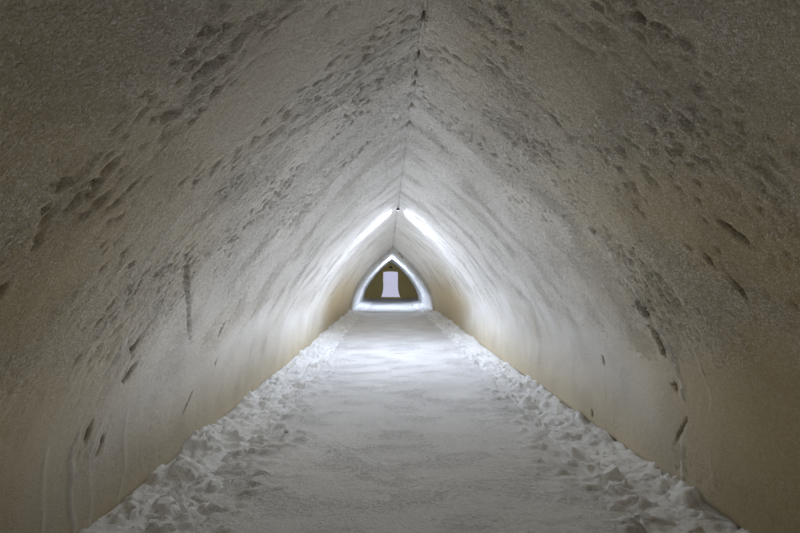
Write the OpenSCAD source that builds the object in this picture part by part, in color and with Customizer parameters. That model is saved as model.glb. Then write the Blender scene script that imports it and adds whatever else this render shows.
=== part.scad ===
// A snow gallery: pointed vaults of packed snow, cast bay by bay over a formwork.
// A long gallery steps down to a narrower neck, which opens into a wider end chamber
// with a flared doorway. X runs across, Y runs along it from the open mouth to the
// doorway, and Z is up. The origin is the middle of the footprint, on the ground.

/* [Gallery] */
// Inner width of the gallery at its floor
gallery_w = 3920; // [3400:20:4400]
// Height of the gallery's ridge over its floor
gallery_h = 3000; // [2800:20:3400]
// Length of one cast bay of the gallery
gallery_bay = 5330; // [4600:10:5700]
// Number of bays in the gallery
gallery_bays = 4; // [3:1:5]

/* [Neck] */
// How much narrower the neck is than the gallery, in all
neck_narrower = 200; // [80:20:400]
// How much lower the neck's ridge is than the gallery's
neck_lower = 250; // [100:10:350]
// Length of one cast bay of the neck
neck_bay = 4425; // [3600:25:4800]
// Number of bays in the neck
neck_bays = 2; // [1:1:3]

/* [Chamber] */
// Inner width of the end chamber at its floor
chamber_w = 4500; // [4200:20:4900]
// Height of the end chamber's ridge over its floor
chamber_h = 3100; // [2950:10:3500]
// Length of the end chamber
chamber_len = 4300; // [3200:50:5000]
// Thickness of the end wall
end_wall_t = 1000; // [600:20:1400]

/* [Arch] */
// Angle where the tight lower arc of a vault meets its flat upper arc
haunch_angle = 30; // [26:1:34]
// Angle at the ridge, so that the two sides meet in a point
ridge_angle = 55; // [52:1:58]

/* [Snow shell] */
// Thickness of the snow at the foot of a vault
foot_t = 1300; // [1100:20:1600]
// Thickness of the snow over a ridge
crown_t = 600; // [450:10:900]
// Radius of the rounded crown outside
crown_r = 2200; // [1800:20:2350]
// Lean of the outer flank at the ground
flank_lean = 9; // [4:0.5:12]
// Thickness of the packed snow floor
floor_t = 150; // [100:10:250]

/* [Seams] */
// Width of the ridge seam between the two halves of a vault
groove_w = 12; // [10:1:20]
// Depth of the ridge seam above the inner face
groove_d = 60; // [40:5:100]
// Width of the snow rib squeezed out at each joint between bays
rib_w = 90; // [50:5:140]
// How far that rib stands out of the inner face
rib_t = 26; // [15:1:40]
// Height over the floor where a rib starts
rib_foot = 330; // [300:10:500]
// Width of the shadow gap round the mouth of the neck
gap_w = 35; // [20:5:60]
// Depth of that gap into the gallery's wall
gap_d = 30; // [15:5:50]

/* [Banks] */
// Width of the loose snow bank along each wall
bank_w = 470; // [350:10:560]
// Height of a bank where it meets the wall
bank_h = 130; // [100:5:170]
// Thickness of a bank's toe
bank_toe = 20; // [12:1:30]
// Number of large lumps on the bank of each bay
bank_lumps = 7; // [3:1:9]
// Radius of the largest lump
lump_r = 105; // [80:5:120]

/* [Doorway] */
// Width of the doorway above its flare
door_w = 1180; // [900:10:1400]
// Width of the doorway at its sill
door_foot_w = 1560; // [1450:10:1900]
// Height of the doorway over its sill, at the middle
door_h = 2060; // [1850:10:2200]
// Height over the sill where the flare ends
flare_h = 820; // [600:10:1000]
// Rise of the doorway's flat arch
door_rise = 50; // [30:5:90]
// Height of the sill over the floor
sill_h = 110; // [60:5:160]
// How far the sill is let into each jamb
sill_bite = 30; // [15:5:60]
// Width of the flat landing of the arch on each jamb
arch_landing = 15; // [10:1:30]

/* [Lamps] */
// Distance of the first ridge lamp past the gallery's second joint
lamp_1_past = 360; // [200:10:2000]
// Distance of the second ridge lamp before the neck's first joint
lamp_2_before = 870; // [300:10:2000]
// Radius of a lamp's housing
lamp_r = 32; // [25:1:45]
// Height of a lamp's housing
lamp_h = 46; // [35:1:60]
// Gap between the ridge and the top of a housing
lamp_drop = 34; // [30:1:50]
// Thickness of a lamp's lens
lens_t = 8; // [5:1:12]
// Clearance between a lamp's stem and the sides of the ridge seam
stem_gap = 0.3; // [0.2:0.1:0.5]

/* [Fitting over the doorway] */
// Width of the small dark fitting
fitting_w = 190; // [120:5:240]
// Height of the fitting
fitting_h = 170; // [120:5:200]
// Depth of the fitting
fitting_d = 80; // [50:5:120]
// Gap between the top of the doorway and the fitting
fitting_gap = 240; // [180:10:280]

/* [Hidden] */
$fn = 240;
FAR = 20000;          // longer than any outline
SEAT = 0.5;           // clearance between a bank and the curved wall behind it
LIP = 1;              // how far a cutting body runs past what it cuts
LAP = 0.5;            // how far one of two tangent curves stands over the other, to cross cleanly

neck_w = gallery_w - neck_narrower;
neck_h = gallery_h - neck_lower;
gallery_len = gallery_bays * gallery_bay;
neck_len = neck_bays * neck_bay;
total_len = gallery_len + neck_len + chamber_len + end_wall_t;
mouth_y = -total_len / 2;
neck_y = mouth_y + gallery_len;
chamber_y = neck_y + neck_len;
end_y = chamber_y + chamber_len;
sill_z = floor_t + sill_h;
door_top_z = sill_z + door_h;
spring_z = door_top_z - door_rise;
stem_r = groove_w / 2 - stem_gap;
lamp_1_y = mouth_y + 2 * gallery_bay + lamp_1_past;
lamp_2_y = neck_y + neck_bay - lamp_2_before;

// Half width and height of the snow's outer outline, over the gallery and neck and
// over the chamber
long_mound = [gallery_w / 2 + foot_t, floor_t + gallery_h + crown_t];
chamber_mound = [chamber_w / 2 + foot_t, floor_t + chamber_h + crown_t];

function side_name(side) = side < 0 ? "left" : "right";
function vault_name(part, i, side) = str(part, "_vault_", i, "_", side_name(side));
function bank_name(part, i, side) = str(part, "_bank_", i, "_", side_name(side));
function wobble(k) = sin(k * 137.5) * cos(k * 61.3);

// Radii of the two arcs of a vault's inner face, tangent where they meet, with a
// vertical foot at half_w and a ridge at height h.
function arc_det() = (1 - cos(haunch_angle)) * (sin(ridge_angle) - sin(haunch_angle))
    - sin(haunch_angle) * (cos(haunch_angle) - cos(ridge_angle));
function lower_r(half_w, h) = (half_w * (sin(ridge_angle) - sin(haunch_angle))
    - h * (cos(haunch_angle) - cos(ridge_angle))) / arc_det();
function upper_r(half_w, h) = ((1 - cos(haunch_angle)) * h - sin(haunch_angle) * half_w) / arc_det();
// Radius of the outer flank, which leans in at the ground and is tangent to the crown
function flank_r(half_w, top) =
    (half_w * half_w + (top - crown_r) * (top - crown_r) - crown_r * crown_r)
    / (2 * (half_w * cos(flank_lean) - (top - crown_r) * sin(flank_lean) - crown_r));

// One side of the line through a point along a direction: turn is 1 above, -1 below
function side_of_line(point, dir, turn) = let (across = turn * FAR * [-dir[1], dir[0]])
    [point - FAR * dir, point + FAR * dir, point + FAR * dir + across, point - FAR * dir + across];

// The region right of the ridge plane and over the height low, under two tangent arcs.
// The tight one is whole and stands a hair over the flat one; the flat one is kept on
// one side of the line through the tight one's centre along dir.
module two_arc_half(c_tight, r_tight, c_flat, r_flat, dir, turn, low) {
    intersection() {
        translate([0, low]) square([FAR, FAR]);
        union() {
            translate(c_tight) circle(r_tight + LAP);
            intersection() {
                translate(c_flat) circle(r_flat);
                polygon(side_of_line(c_tight, dir, turn));
            }
        }
    }
}

// Inner outline of a vault, right half, over the ground; inset moves it into the room
module room_half(w, h, inset = 0) {
    r1 = lower_r(w / 2, h);
    r2 = upper_r(w / 2, h);
    dir = [cos(haunch_angle), sin(haunch_angle)];
    c1 = [w / 2 - r1, 0];
    translate([0, floor_t])
        two_arc_half(c1, r1 - inset, c1 + (r1 - r2) * dir, r2 - inset, dir, 1, -floor_t / 2);
    square([w / 2 - inset, floor_t]);
}

// Outer outline of the snow, right half, over the ground; size is half width and height
module mound_half(size) {
    r = flank_r(size[0], size[1]);
    flank_c = [size[0] - r * cos(flank_lean), -r * sin(flank_lean)];
    crown_c = [0, size[1] - crown_r];
    two_arc_half(crown_c, crown_r, flank_c, r, crown_c - flank_c, -1, 0);
}

// Stands an outline drawn in X and height up along the gallery, from y for len
module along(y, len) {
    translate([0, y + len, 0]) rotate([90, 0, 0]) linear_extrude(len) children();
}

// Half of one cast bay, with its ridge seam and a rib at each joint to another bay
module vault_half(w, h, mound, y, len, side, rib_before, rib_after) {
    color([0.93, 0.94, 0.97]) mirror([side < 0 ? 1 : 0, 0, 0]) {
        along(y, len) difference() {
            mound_half(mound);
            room_half(w, h);
            translate([0, floor_t + h / 2]) square([groove_w / 2, h / 2 + groove_d]);
        }
        if (rib_before) rib(w, h, y);
        if (rib_after) rib(w, h, y + len - rib_w / 2);
    }
}

// Half of a joint's rib, on one side of the ridge
module rib(w, h, y) {
    along(y, rib_w / 2) difference() {
        room_half(w, h);
        room_half(w, h, rib_t);
        square([w, floor_t + rib_foot]);
        square([groove_w / 2, floor_t + h + groove_d]);
    }
}

// The shadow gap cut into the gallery's last bay, round the mouth of the neck
module neck_gap(side) {
    mirror([side < 0 ? 1 : 0, 0, 0]) along(neck_y - gap_w, gap_w + LIP) difference() {
        room_half(gallery_w, gallery_h, -gap_d);
        square([gallery_w, floor_t]);
    }
}

// Packed snow floor between the feet of a vault
module floor_slab(w, y, len) {
    color([0.84, 0.86, 0.9]) translate([-w / 2, y, 0]) cube([w, len, floor_t]);
}

// Loose snow along the foot of a wall: a hollow slope with large lumps on it
module bank(w, h, y, len, side, bay) {
    rise = bank_h - bank_toe;
    slope_r = (bank_w * bank_w + rise * rise) / (2 * rise);
    color([0.89, 0.91, 0.95]) mirror([side < 0 ? 1 : 0, 0, 0])
        intersection() {
            along(y, len) difference() {
                room_half(w, h, SEAT);
                square([w, floor_t]);
            }
            union() {
                along(y, len) translate([w / 2 - bank_w, floor_t]) difference() {
                    square([bank_w, bank_h]);
                    translate([0, slope_r + bank_toe]) circle(slope_r);
                }
                for (k = [1:bank_lumps]) {
                    seed = k + (side < 0 ? 40 : 0) + 10 * bay;
                    r = lump_r * (0.72 + 0.28 * wobble(seed));
                    reach = bank_w / 2 + (bank_w / 2 - r) * 0.7 * wobble(seed + 9);
                    translate([w / 2 - reach, y + (k - 0.5) * len / bank_lumps, floor_t + r / 4])
                        sphere(r, $fn = 72);
                }
            }
        }
}

// Outline of the doorway, right half, over the ground: straight jambs on a bell flare,
// with the seat of the sill below
module doorway_half() {
    spread = (door_foot_w - door_w) / 2;
    flare_r = (flare_h * flare_h + spread * spread) / (2 * spread);
    square([door_w / 2, spring_z]);
    square([door_foot_w / 2 + sill_bite, sill_z]);
    translate([0, sill_z]) difference() {
        square([door_w / 2 + flare_r, flare_h]);
        translate([door_w / 2 + flare_r - LAP, flare_h]) circle(flare_r);
    }
}

// One side of the end wall, from the jamb out to the mound's flank
module end_wall_side(side) {
    color([0.9, 0.91, 0.94]) mirror([side < 0 ? 1 : 0, 0, 0])
        along(end_y, end_wall_t) difference() {
            mound_half(chamber_mound);
            square([door_w / 2, FAR]);
            doorway_half();
        }
}

// The end wall over the doorway, with a flat arch under it
module end_wall_head() {
    chord = door_w / 2 - arch_landing;
    arch_r = (chord * chord + door_rise * door_rise) / (2 * door_rise);
    color([0.9, 0.91, 0.94]) along(end_y, end_wall_t) for (m = [0, 1]) mirror([m, 0]) difference() {
        mound_half(chamber_mound);
        square([FAR, spring_z]);
        translate([door_w / 2, 0]) square([FAR, FAR]);
        translate([0, door_top_z - arch_r]) circle(arch_r);
    }
}

// Snow threshold that fills the foot of the doorway
module door_sill() {
    w = door_foot_w + 2 * sill_bite;
    color([0.95, 0.96, 0.98]) translate([-w / 2, end_y, 0]) cube([w, end_wall_t, sill_z]);
}

// Small dark box on the end wall over the doorway, on a thin back plate
module door_fitting() {
    plate_t = 12;
    margin = 18;
    corner = 14;
    z = door_top_z + fitting_gap;
    color([0.16, 0.18, 0.12]) translate([0, end_y, z]) {
        translate([-fitting_w / 2, -plate_t, 0]) cube([fitting_w, plate_t, fitting_h]);
        translate([0, -plate_t, fitting_h / 2]) rotate([90, 0, 0]) linear_extrude(fitting_d - plate_t)
            rounded(fitting_w - 2 * margin, fitting_h - 2 * margin, corner);
    }
}

// A rectangle round its middle with round corners
module rounded(w, h, r) {
    square([w - 2 * r, h], center = true);
    square([w, h - 2 * r], center = true);
    for (sx = [-1, 1], sz = [-1, 1]) translate([sx * (w / 2 - r), sz * (h / 2 - r)]) circle(r);
}

// Height of the ridge over the ground at a place along the gallery
function ridge_z(y) = floor_t + (y < neck_y ? gallery_h : neck_h);

// A ridge lamp's dark housing, on a stem that stands in the ridge seam
module lamp_housing(y) {
    ridge = ridge_z(y);
    color([0.1, 0.1, 0.11]) translate([0, y, ridge]) {
        translate([0, 0, -lamp_drop - LIP]) cylinder(r = stem_r, h = lamp_drop + LIP + groove_d);
        translate([0, 0, -lamp_drop - lamp_h]) cylinder(r = lamp_r, h = lamp_h);
    }
}

// The lamp's lens, flat under its housing
module lamp_lens(y) {
    rim = 5;
    color([0.95, 0.97, 1]) translate([0, y, ridge_z(y) - lamp_drop - lamp_h - lens_t])
        cylinder(r = lamp_r - rim, h = lens_t);
}

module gallery_vault(i, side) {
    difference() {
        vault_half(gallery_w, gallery_h, long_mound, mouth_y + (i - 1) * gallery_bay, gallery_bay,
            side, i > 1, i < gallery_bays);
        if (i == gallery_bays) neck_gap(side);
    }
}

module neck_vault(i, side) {
    vault_half(neck_w, neck_h, long_mound, neck_y + (i - 1) * neck_bay, neck_bay, side,
        i > 1, i < neck_bays);
}

module chamber_vault(side) {
    vault_half(chamber_w, chamber_h, chamber_mound, chamber_y, chamber_len, side, false, false);
}

for (i = [1:gallery_bays], side = [-1, 1]) {
    gallery_vault(i, side);
    bank(gallery_w, gallery_h, mouth_y + (i - 1) * gallery_bay, gallery_bay, side, i);
}
for (i = [1:neck_bays], side = [-1, 1]) {
    neck_vault(i, side);
    bank(neck_w, neck_h, neck_y + (i - 1) * neck_bay, neck_bay, side, gallery_bays + i);
}
for (side = [-1, 1]) {
    chamber_vault(side);
    bank(chamber_w, chamber_h, chamber_y, chamber_len, side, gallery_bays + neck_bays + 1);
    end_wall_side(side);
}
floor_slab(gallery_w, mouth_y, gallery_len);  // gallery_floor
floor_slab(neck_w, neck_y, neck_len);  // neck_floor
floor_slab(chamber_w, chamber_y, chamber_len);  // chamber_floor
end_wall_head();
door_sill();
door_fitting();
lamp_housing(lamp_1_y);  // lamp_1_housing
lamp_housing(lamp_2_y);  // lamp_2_housing
lamp_lens(lamp_1_y);  // lamp_1_lens
lamp_lens(lamp_2_y);  // lamp_2_lens
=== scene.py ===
"""Snow gallery of an igloo hotel: the dressed model of pointed vaults in packed snow.

The CAD frame gives the plain solids. Each one is replaced here by a closed mesh of the
same main shape whose surface is worked as the real snow is: blown snow that took the
print of its formwork, torn frost, ragged joints, trodden floor and loose clods.
Metres throughout. X runs across, Y runs along the gallery from its open mouth, Z is up.
"""

import logging
import math
from dataclasses import dataclass, field
from enum import Enum
from typing import Callable, Sequence

import bmesh
import bpy
import numpy as np
from mathutils import Matrix, Vector


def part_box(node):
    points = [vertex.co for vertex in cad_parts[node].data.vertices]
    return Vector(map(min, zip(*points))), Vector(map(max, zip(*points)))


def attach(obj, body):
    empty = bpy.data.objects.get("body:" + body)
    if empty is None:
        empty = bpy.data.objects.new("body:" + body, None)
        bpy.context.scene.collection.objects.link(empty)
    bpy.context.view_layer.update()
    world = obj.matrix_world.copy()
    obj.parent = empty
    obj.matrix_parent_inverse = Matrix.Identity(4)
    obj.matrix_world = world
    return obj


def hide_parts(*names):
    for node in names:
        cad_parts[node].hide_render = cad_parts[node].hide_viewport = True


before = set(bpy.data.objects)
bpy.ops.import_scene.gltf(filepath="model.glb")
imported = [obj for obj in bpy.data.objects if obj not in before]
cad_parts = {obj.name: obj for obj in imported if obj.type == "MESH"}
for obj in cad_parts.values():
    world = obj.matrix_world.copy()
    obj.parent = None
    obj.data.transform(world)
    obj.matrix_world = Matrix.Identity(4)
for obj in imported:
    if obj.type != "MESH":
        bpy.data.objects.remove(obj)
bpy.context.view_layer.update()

LOG = logging.getLogger("snow_gallery")

# Sizes that the part's source also holds
FLOOR_TOP = 0.150
GROOVE_HALF = 0.006
GROOVE_DEPTH = 0.060
HAUNCH = math.radians(30)
RIDGE = math.radians(55)
CROWN_R = 2.200
FLANK_LEAN = math.radians(9)
DOOR_HALF = 0.590
DOOR_FOOT_HALF = 0.780
FLARE_H = 0.820
DOOR_RISE = 0.050
SILL_TOP = 0.260
DOOR_TOP = 2.320
GALLERY_BAYS = 4
NECK_BAYS = 2

MOUTH_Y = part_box("gallery_floor")[0].y
NECK_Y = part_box("neck_floor")[0].y
CHAMBER_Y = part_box("chamber_floor")[0].y
END_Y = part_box("door_sill")[0].y
BACK_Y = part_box("door_sill")[1].y
EYE = Vector((-0.20, MOUTH_Y + 2.87, FLOOR_TOP + 1.50))

# Vertices closer than this are joined where the sheets of one piece meet
WELD = 2e-5


class Side(Enum):
    """A side of the ridge plane."""

    LEFT = -1
    RIGHT = 1

    @property
    def word(self) -> str:
        """The side as node names say it."""
        return self.name.lower()


# Fields of noise, all worked out in the plane of an unrolled surface

STEPS_8 = np.array([[math.cos(k * math.pi / 4), math.sin(k * math.pi / 4)] for k in range(8)])


def lattice(i: np.ndarray, j: np.ndarray, seed: int) -> np.ndarray:
    """Gives each cell of an endless lattice a fixed number of its own.

    Args:
        i, j: whole cell numbers.
        seed: picks one lattice of numbers from many.

    Returns:
        Unsigned whole numbers, one for each cell.
    """
    h = (i.astype(np.int64) * 374761393 + j.astype(np.int64) * 668265263 + seed * 974634777)
    h = h.astype(np.uint32)
    h = (h ^ (h >> np.uint32(13))) * np.uint32(1274126177)
    return h ^ (h >> np.uint32(16))


def chance(i: np.ndarray, j: np.ndarray, seed: int) -> np.ndarray:
    """A fixed number from 0 to 1 for each lattice cell."""
    return (lattice(i, j, seed) & np.uint32(0xFFFFFF)).astype(np.float64) / 0xFFFFFF


def swell(a: np.ndarray, b: np.ndarray, scale_a: float, scale_b: float, seed: int) -> np.ndarray:
    """Smooth gradient noise.

    Args:
        a, b: places on the unrolled surface, in metres.
        scale_a, scale_b: size of one bump along each, in metres.
        seed: picks the pattern.

    Returns:
        Heights of about -1 to 1.
    """
    u, v = a / scale_a, b / scale_b
    i, j = np.floor(u), np.floor(v)
    fu, fv = u - i, v - j
    wu = fu * fu * fu * (fu * (fu * 6 - 15) + 10)
    wv = fv * fv * fv * (fv * (fv * 6 - 15) + 10)
    total = np.zeros_like(u)
    for di in (0, 1):
        for dj in (0, 1):
            way = STEPS_8[lattice(i + di, j + dj, seed) % 8]
            dot = way[..., 0] * (fu - di) + way[..., 1] * (fv - dj)
            total += (wu if di else 1 - wu) * (wv if dj else 1 - wv) * dot
    return total * 1.5


def rough(a: np.ndarray, b: np.ndarray, scale: float, seed: int, octaves: int = 3,
          stretch: float = 1.0) -> np.ndarray:
    """Noise summed over octaves, each half as large and half as high as the last.

    Args:
        a, b: places on the unrolled surface, in metres.
        scale: size of the largest bumps across b, in metres.
        seed: picks the pattern.
        octaves: how many layers are summed.
        stretch: how much longer a bump is along a than across.

    Returns:
        Heights of about -1 to 1.
    """
    total = np.zeros_like(a)
    for k in range(octaves):
        size = scale / 2 ** k
        total += swell(a, b, size * stretch, size, seed + 17 * k) / 2 ** k
    return total


def ramp(low: float, high: float, x: np.ndarray) -> np.ndarray:
    """Eases from 0 at low to 1 at high."""
    t = np.clip((x - low) / (high - low), 0.0, 1.0)
    return t * t * (3 - 2 * t)


def scatter(a: np.ndarray, b: np.ndarray, cell: float, seed: int,
            shape: Callable[..., np.ndarray]) -> np.ndarray:
    """Drops one mark in each square cell and keeps the highest at each place.

    Args:
        a, b: places on the surface, in metres.
        cell: side of a cell, in metres.
        seed: picks the pattern.
        shape: gives a mark's height from the offsets to its middle and three numbers
            from 0 to 1 of its own.

    Returns:
        Heights, 0 where no mark reaches.
    """
    i, j = np.floor(a / cell), np.floor(b / cell)
    total = np.zeros_like(a)
    for di in (-1, 0, 1):
        for dj in (-1, 0, 1):
            ci, cj = i + di, j + dj
            mid_a = (ci + 0.15 + 0.7 * chance(ci, cj, seed)) * cell
            mid_b = (cj + 0.15 + 0.7 * chance(ci, cj, seed + 1)) * cell
            own = [chance(ci, cj, seed + k) for k in (2, 3, 4)]
            total = np.maximum(total, shape(a - mid_a, b - mid_b, *own))
    return total


@dataclass(frozen=True)
class Arch:
    """Inner face of a vault: a tight arc from the floor, then a flat one to the ridge."""

    half_w: float
    rise: float

    @property
    def radii(self) -> tuple[float, float]:
        """Radii of the lower and the upper arc."""
        sin_h, cos_h = math.sin(HAUNCH), math.cos(HAUNCH)
        sin_r, cos_r = math.sin(RIDGE), math.cos(RIDGE)
        det = (1 - cos_h) * (sin_r - sin_h) - sin_h * (cos_h - cos_r)
        lower = (self.half_w * (sin_r - sin_h) - self.rise * (cos_h - cos_r)) / det
        upper = ((1 - cos_h) * self.rise - sin_h * self.half_w) / det
        return lower, upper

    def points(self, steps: int) -> np.ndarray:
        """Evenly spaced points from the ground up to the top of the ridge seam.

        Args:
            steps: number of spans, of which two are the seam's side and top.

        Returns:
            Rows of x, z, then the direction into the room, then 1 where the face is
            free to be worked and 0 in the seam.
        """
        r1, r2 = self.radii
        c1 = np.array([self.half_w - r1, FLOOR_TOP])
        c2 = c1 + (r1 - r2) * np.array([math.cos(HAUNCH), math.sin(HAUNCH)])
        last = math.acos((GROOVE_HALF - c2[0]) / r2)
        len1, len2 = r1 * HAUNCH, r2 * (last - HAUNCH)
        s = np.linspace(-FLOOR_TOP, len1 + len2, steps - 1)
        turn = np.where(s < len1, np.maximum(s, 0) / r1, HAUNCH + (s - len1) / r2)
        mid = np.where((s < len1)[:, None], c1, c2)
        radius = np.where(s < len1, r1, r2)
        x = mid[:, 0] + radius * np.cos(turn)
        z = mid[:, 1] + radius * np.sin(turn) + np.minimum(s, 0)
        rows = np.stack([x, z, -np.cos(turn), -np.sin(turn), np.ones_like(s)], 1)
        top = z[-1] + GROOVE_DEPTH
        seam = np.array([[GROOVE_HALF, top, 0, -1, 0], [0, top, 0, -1, 0]], float)
        return np.concatenate([rows, seam])


@dataclass(frozen=True)
class Mound:
    """Outer face of the snow: a leaning flank, tangent to a round crown."""

    half_w: float
    top: float

    @property
    def arcs(self) -> tuple[float, np.ndarray, float]:
        """Radius and centre of the flank, and the angle where the crown takes over."""
        rise = self.top - CROWN_R
        r = (self.half_w ** 2 + rise ** 2 - CROWN_R ** 2) / (
            2 * (self.half_w * math.cos(FLANK_LEAN) - rise * math.sin(FLANK_LEAN) - CROWN_R))
        centre = np.array([self.half_w - r * math.cos(FLANK_LEAN), -r * math.sin(FLANK_LEAN)])
        return r, centre, math.atan2(rise - centre[1], -centre[0])

    def points(self, steps: int, stop_x: float = 0.0) -> np.ndarray:
        """Evenly spaced points from the ground up to the crown.

        Args:
            steps: number of spans.
            stop_x: distance from the middle where the points end.

        Returns:
            Rows of x, z, the direction out of the snow, and 1.
        """
        r, centre, joint = self.arcs
        crown = np.array([0.0, self.top - CROWN_R])
        last = math.acos(stop_x / CROWN_R)
        len1, len2 = r * (joint - FLANK_LEAN), CROWN_R * (last - joint)
        s = np.linspace(0, len1 + len2, steps + 1)
        turn = np.where(s < len1, FLANK_LEAN + s / r, joint + (s - len1) / CROWN_R)
        mid = np.where((s < len1)[:, None], centre, crown)
        radius = np.where(s < len1, r, CROWN_R)
        x = mid[:, 0] + radius * np.cos(turn)
        z = mid[:, 1] + radius * np.sin(turn)
        return np.stack([x, z, np.cos(turn), np.sin(turn), np.ones_like(s)], 1)


GALLERY_ARCH = Arch(1.960, 3.000)
NECK_ARCH = Arch(1.860, 2.750)
CHAMBER_ARCH = Arch(2.250, 3.100)
LONG_MOUND = Mound(3.260, 3.750)
CHAMBER_MOUND = Mound(3.550, 3.850)


# Relief of each kind of surface, in metres out of the snow

JOINTS = [MOUTH_Y + k * (NECK_Y - MOUTH_Y) / GALLERY_BAYS for k in (1, 2, 3)]
JOINTS.append((NECK_Y + CHAMBER_Y) / 2)


@dataclass(frozen=True)
class Hollow:
    """A scar in a wall: its side, place along the gallery, height, reach, depth and lean."""

    side: Side
    y: float
    z: float
    reach_y: float
    reach_z: float
    depth: float
    lean: float = 0.0


def at(side: Side, ahead: float, z: float, reach_y: float, reach_z: float,
       depth: float, lean: float = 0.0) -> Hollow:
    """A scar placed by its distance ahead of the eye and its height over the floor."""
    return Hollow(side, EYE.y + ahead, FLOOR_TOP + z, reach_y, reach_z, depth, lean)


SCARS = [
    at(Side.LEFT, 2.58, 1.47, 0.030, 0.130, 0.040, -1.45),
    at(Side.LEFT, 2.92, 1.22, 0.018, 0.160, 0.026, -1.25),
    at(Side.LEFT, 2.41, 1.12, 0.030, 0.045, 0.022),
    at(Side.LEFT, 2.50, 0.93, 0.026, 0.060, 0.030, 0.3),
    at(Side.LEFT, 2.30, 0.66, 0.020, 0.045, 0.018),
    at(Side.LEFT, 2.42, 0.52, 0.016, 0.050, 0.018, 0.4),
    at(Side.LEFT, 3.70, 1.05, 0.016, 0.085, 0.016, -0.1),
    at(Side.LEFT, 4.44, 1.11, 0.015, 0.055, 0.014),
    at(Side.LEFT, 3.90, 0.71, 0.016, 0.045, 0.012),
    at(Side.LEFT, 3.46, 0.47, 0.016, 0.080, 0.014, 0.8),
    at(Side.RIGHT, 2.78, 1.29, 0.044, 0.060, 0.045),
    at(Side.RIGHT, 2.79, 1.06, 0.026, 0.110, 0.040),
    at(Side.RIGHT, 3.02, 1.02, 0.170, 0.120, 0.005),
    at(Side.RIGHT, 2.79, 0.75, 0.026, 0.032, 0.020),
    at(Side.RIGHT, 3.74, 0.73, 0.014, 0.055, 0.014),
    at(Side.RIGHT, 3.97, 0.17, 0.018, 0.050, 0.012),
    at(Side.RIGHT, 2.72, 1.84, 0.034, 0.026, 0.020),
    at(Side.RIGHT, 2.76, 0.46, 0.015, 0.120, 0.012, -0.55),
    at(Side.RIGHT, 1.70, 1.70, 0.016, 0.065, 0.020, 0.55),
    at(Side.RIGHT, 1.88, 1.46, 0.015, 0.045, 0.014, 0.2),
    at(Side.RIGHT, 1.94, 1.60, 0.015, 0.030, 0.016),
]


@dataclass(frozen=True)
class Lip:
    """A lip where formwork met: its side, distance ahead of the eye, height, and the step
    that the wall takes past it."""

    side: Side
    ahead: float
    height: float
    step: float


LIPS = [
    Lip(Side.RIGHT, 2.72, 0.015, 0.003), Lip(Side.RIGHT, 2.52, 0.004, 0.000),
    Lip(Side.LEFT, 2.24, 0.013, 0.002), Lip(Side.LEFT, 2.40, 0.006, 0.000),
    Lip(Side.LEFT, 2.62, 0.006, 0.001), Lip(Side.LEFT, 2.02, 0.005, 0.001),
]


# How far the foot of the gallery's walls swells into the room
FOOT_SWELLING = {Side.LEFT: 0.05, Side.RIGHT: 0.13}


def up_wall(x: np.ndarray, z: np.ndarray) -> np.ndarray:
    """Distance up a vault's inner face, nearly true to length, and negative on the left."""
    return (z - 0.45 * np.abs(x)) * np.where(x < 0, -1.0, 1.0)


def frost_cover(x: np.ndarray, y: np.ndarray, z: np.ndarray) -> tuple[np.ndarray, np.ndarray]:
    """Where hoar frost has grown on the walls.

    Args:
        x, y, z: places on the inner face.

    Returns:
        How far a place lies in the rough upper zone, and how much frost it bears.
    """
    a = up_wall(x, z)
    wander = 0.35 * swell(a, y, 0.8, 1.1, 71) + 0.15 * rough(a, y, 0.3, 72)
    high = ramp(0.70, 1.50, z - FLOOR_TOP + wander)
    near = ramp(4.4, 1.0, y - EYE.y - 0.8 * ramp(1.4, 2.4, z))
    patch = swell(a, y, 0.60, 0.75, 74) + 0.30 * rough(a, y, 0.14, 75, 3)
    return high, high * ramp(-1.10 + 0.70 * near, -0.20 + 0.70 * near, patch)


def lip_line(n: int, up: np.ndarray, y: np.ndarray) -> tuple[np.ndarray, np.ndarray]:
    """How far each place lies past a lip's wandering line, and how whole the lip is there."""
    off = y - EYE.y - LIPS[n].ahead - 0.07 * rough(up, y * 0 + n, 0.7, 80 + n, 4)
    whole = ramp(-0.80, -0.25, swell(up, y * 0 + n, 0.45, 1.0, 90 + n))
    return off, whole * np.where(up < 0, ramp(0.10, 0.45, -up), 1.0)


# Places along the ridge, ahead of the eye, where the choked seam has cracked open
CRACKS = (1.60, 1.95, 2.22, 2.61, 2.86, 3.00, 3.38, 3.76)


def cracked(y: np.ndarray) -> np.ndarray:
    """1 where the seam along the ridge has cracked open, and 0 away from the cracks."""
    return sum(np.exp(-((y - EYE.y - place) / 0.036) ** 4) for place in CRACKS)


def scar_reach(n: int, up: np.ndarray, y: np.ndarray, z: np.ndarray) -> np.ndarray:
    """How far each place lies from the middle of a scar, where 1 is its ragged edge."""
    scar = SCARS[n]
    rise = z - scar.z
    along = y - scar.y - scar.lean * rise
    edge = np.maximum(1 + 0.75 * rough(up, y, 0.045, 60 + n, 3), 0.2)
    return edge * ((along / scar.reach_y) ** 2 + (rise / scar.reach_z) ** 2)


def torn_cover(up: np.ndarray, y: np.ndarray, high: np.ndarray) -> np.ndarray:
    """How deep the snow is torn into ragged pits, from 0 to 1, near the place of the eye."""
    torn = swell(up, y, 0.070, 0.055, 25) + 0.80 * rough(up, y, 0.040, 26, 3)
    torn -= 0.9 * ramp(0.55, -0.25, swell(up, y, 0.50, 0.34, 27))
    ahead = y - EYE.y - 0.9 * ramp(1.1, 1.9, np.abs(up))
    return ramp(0.30, 0.46, torn) * high * ramp(4.2, 2.0, ahead)


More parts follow.
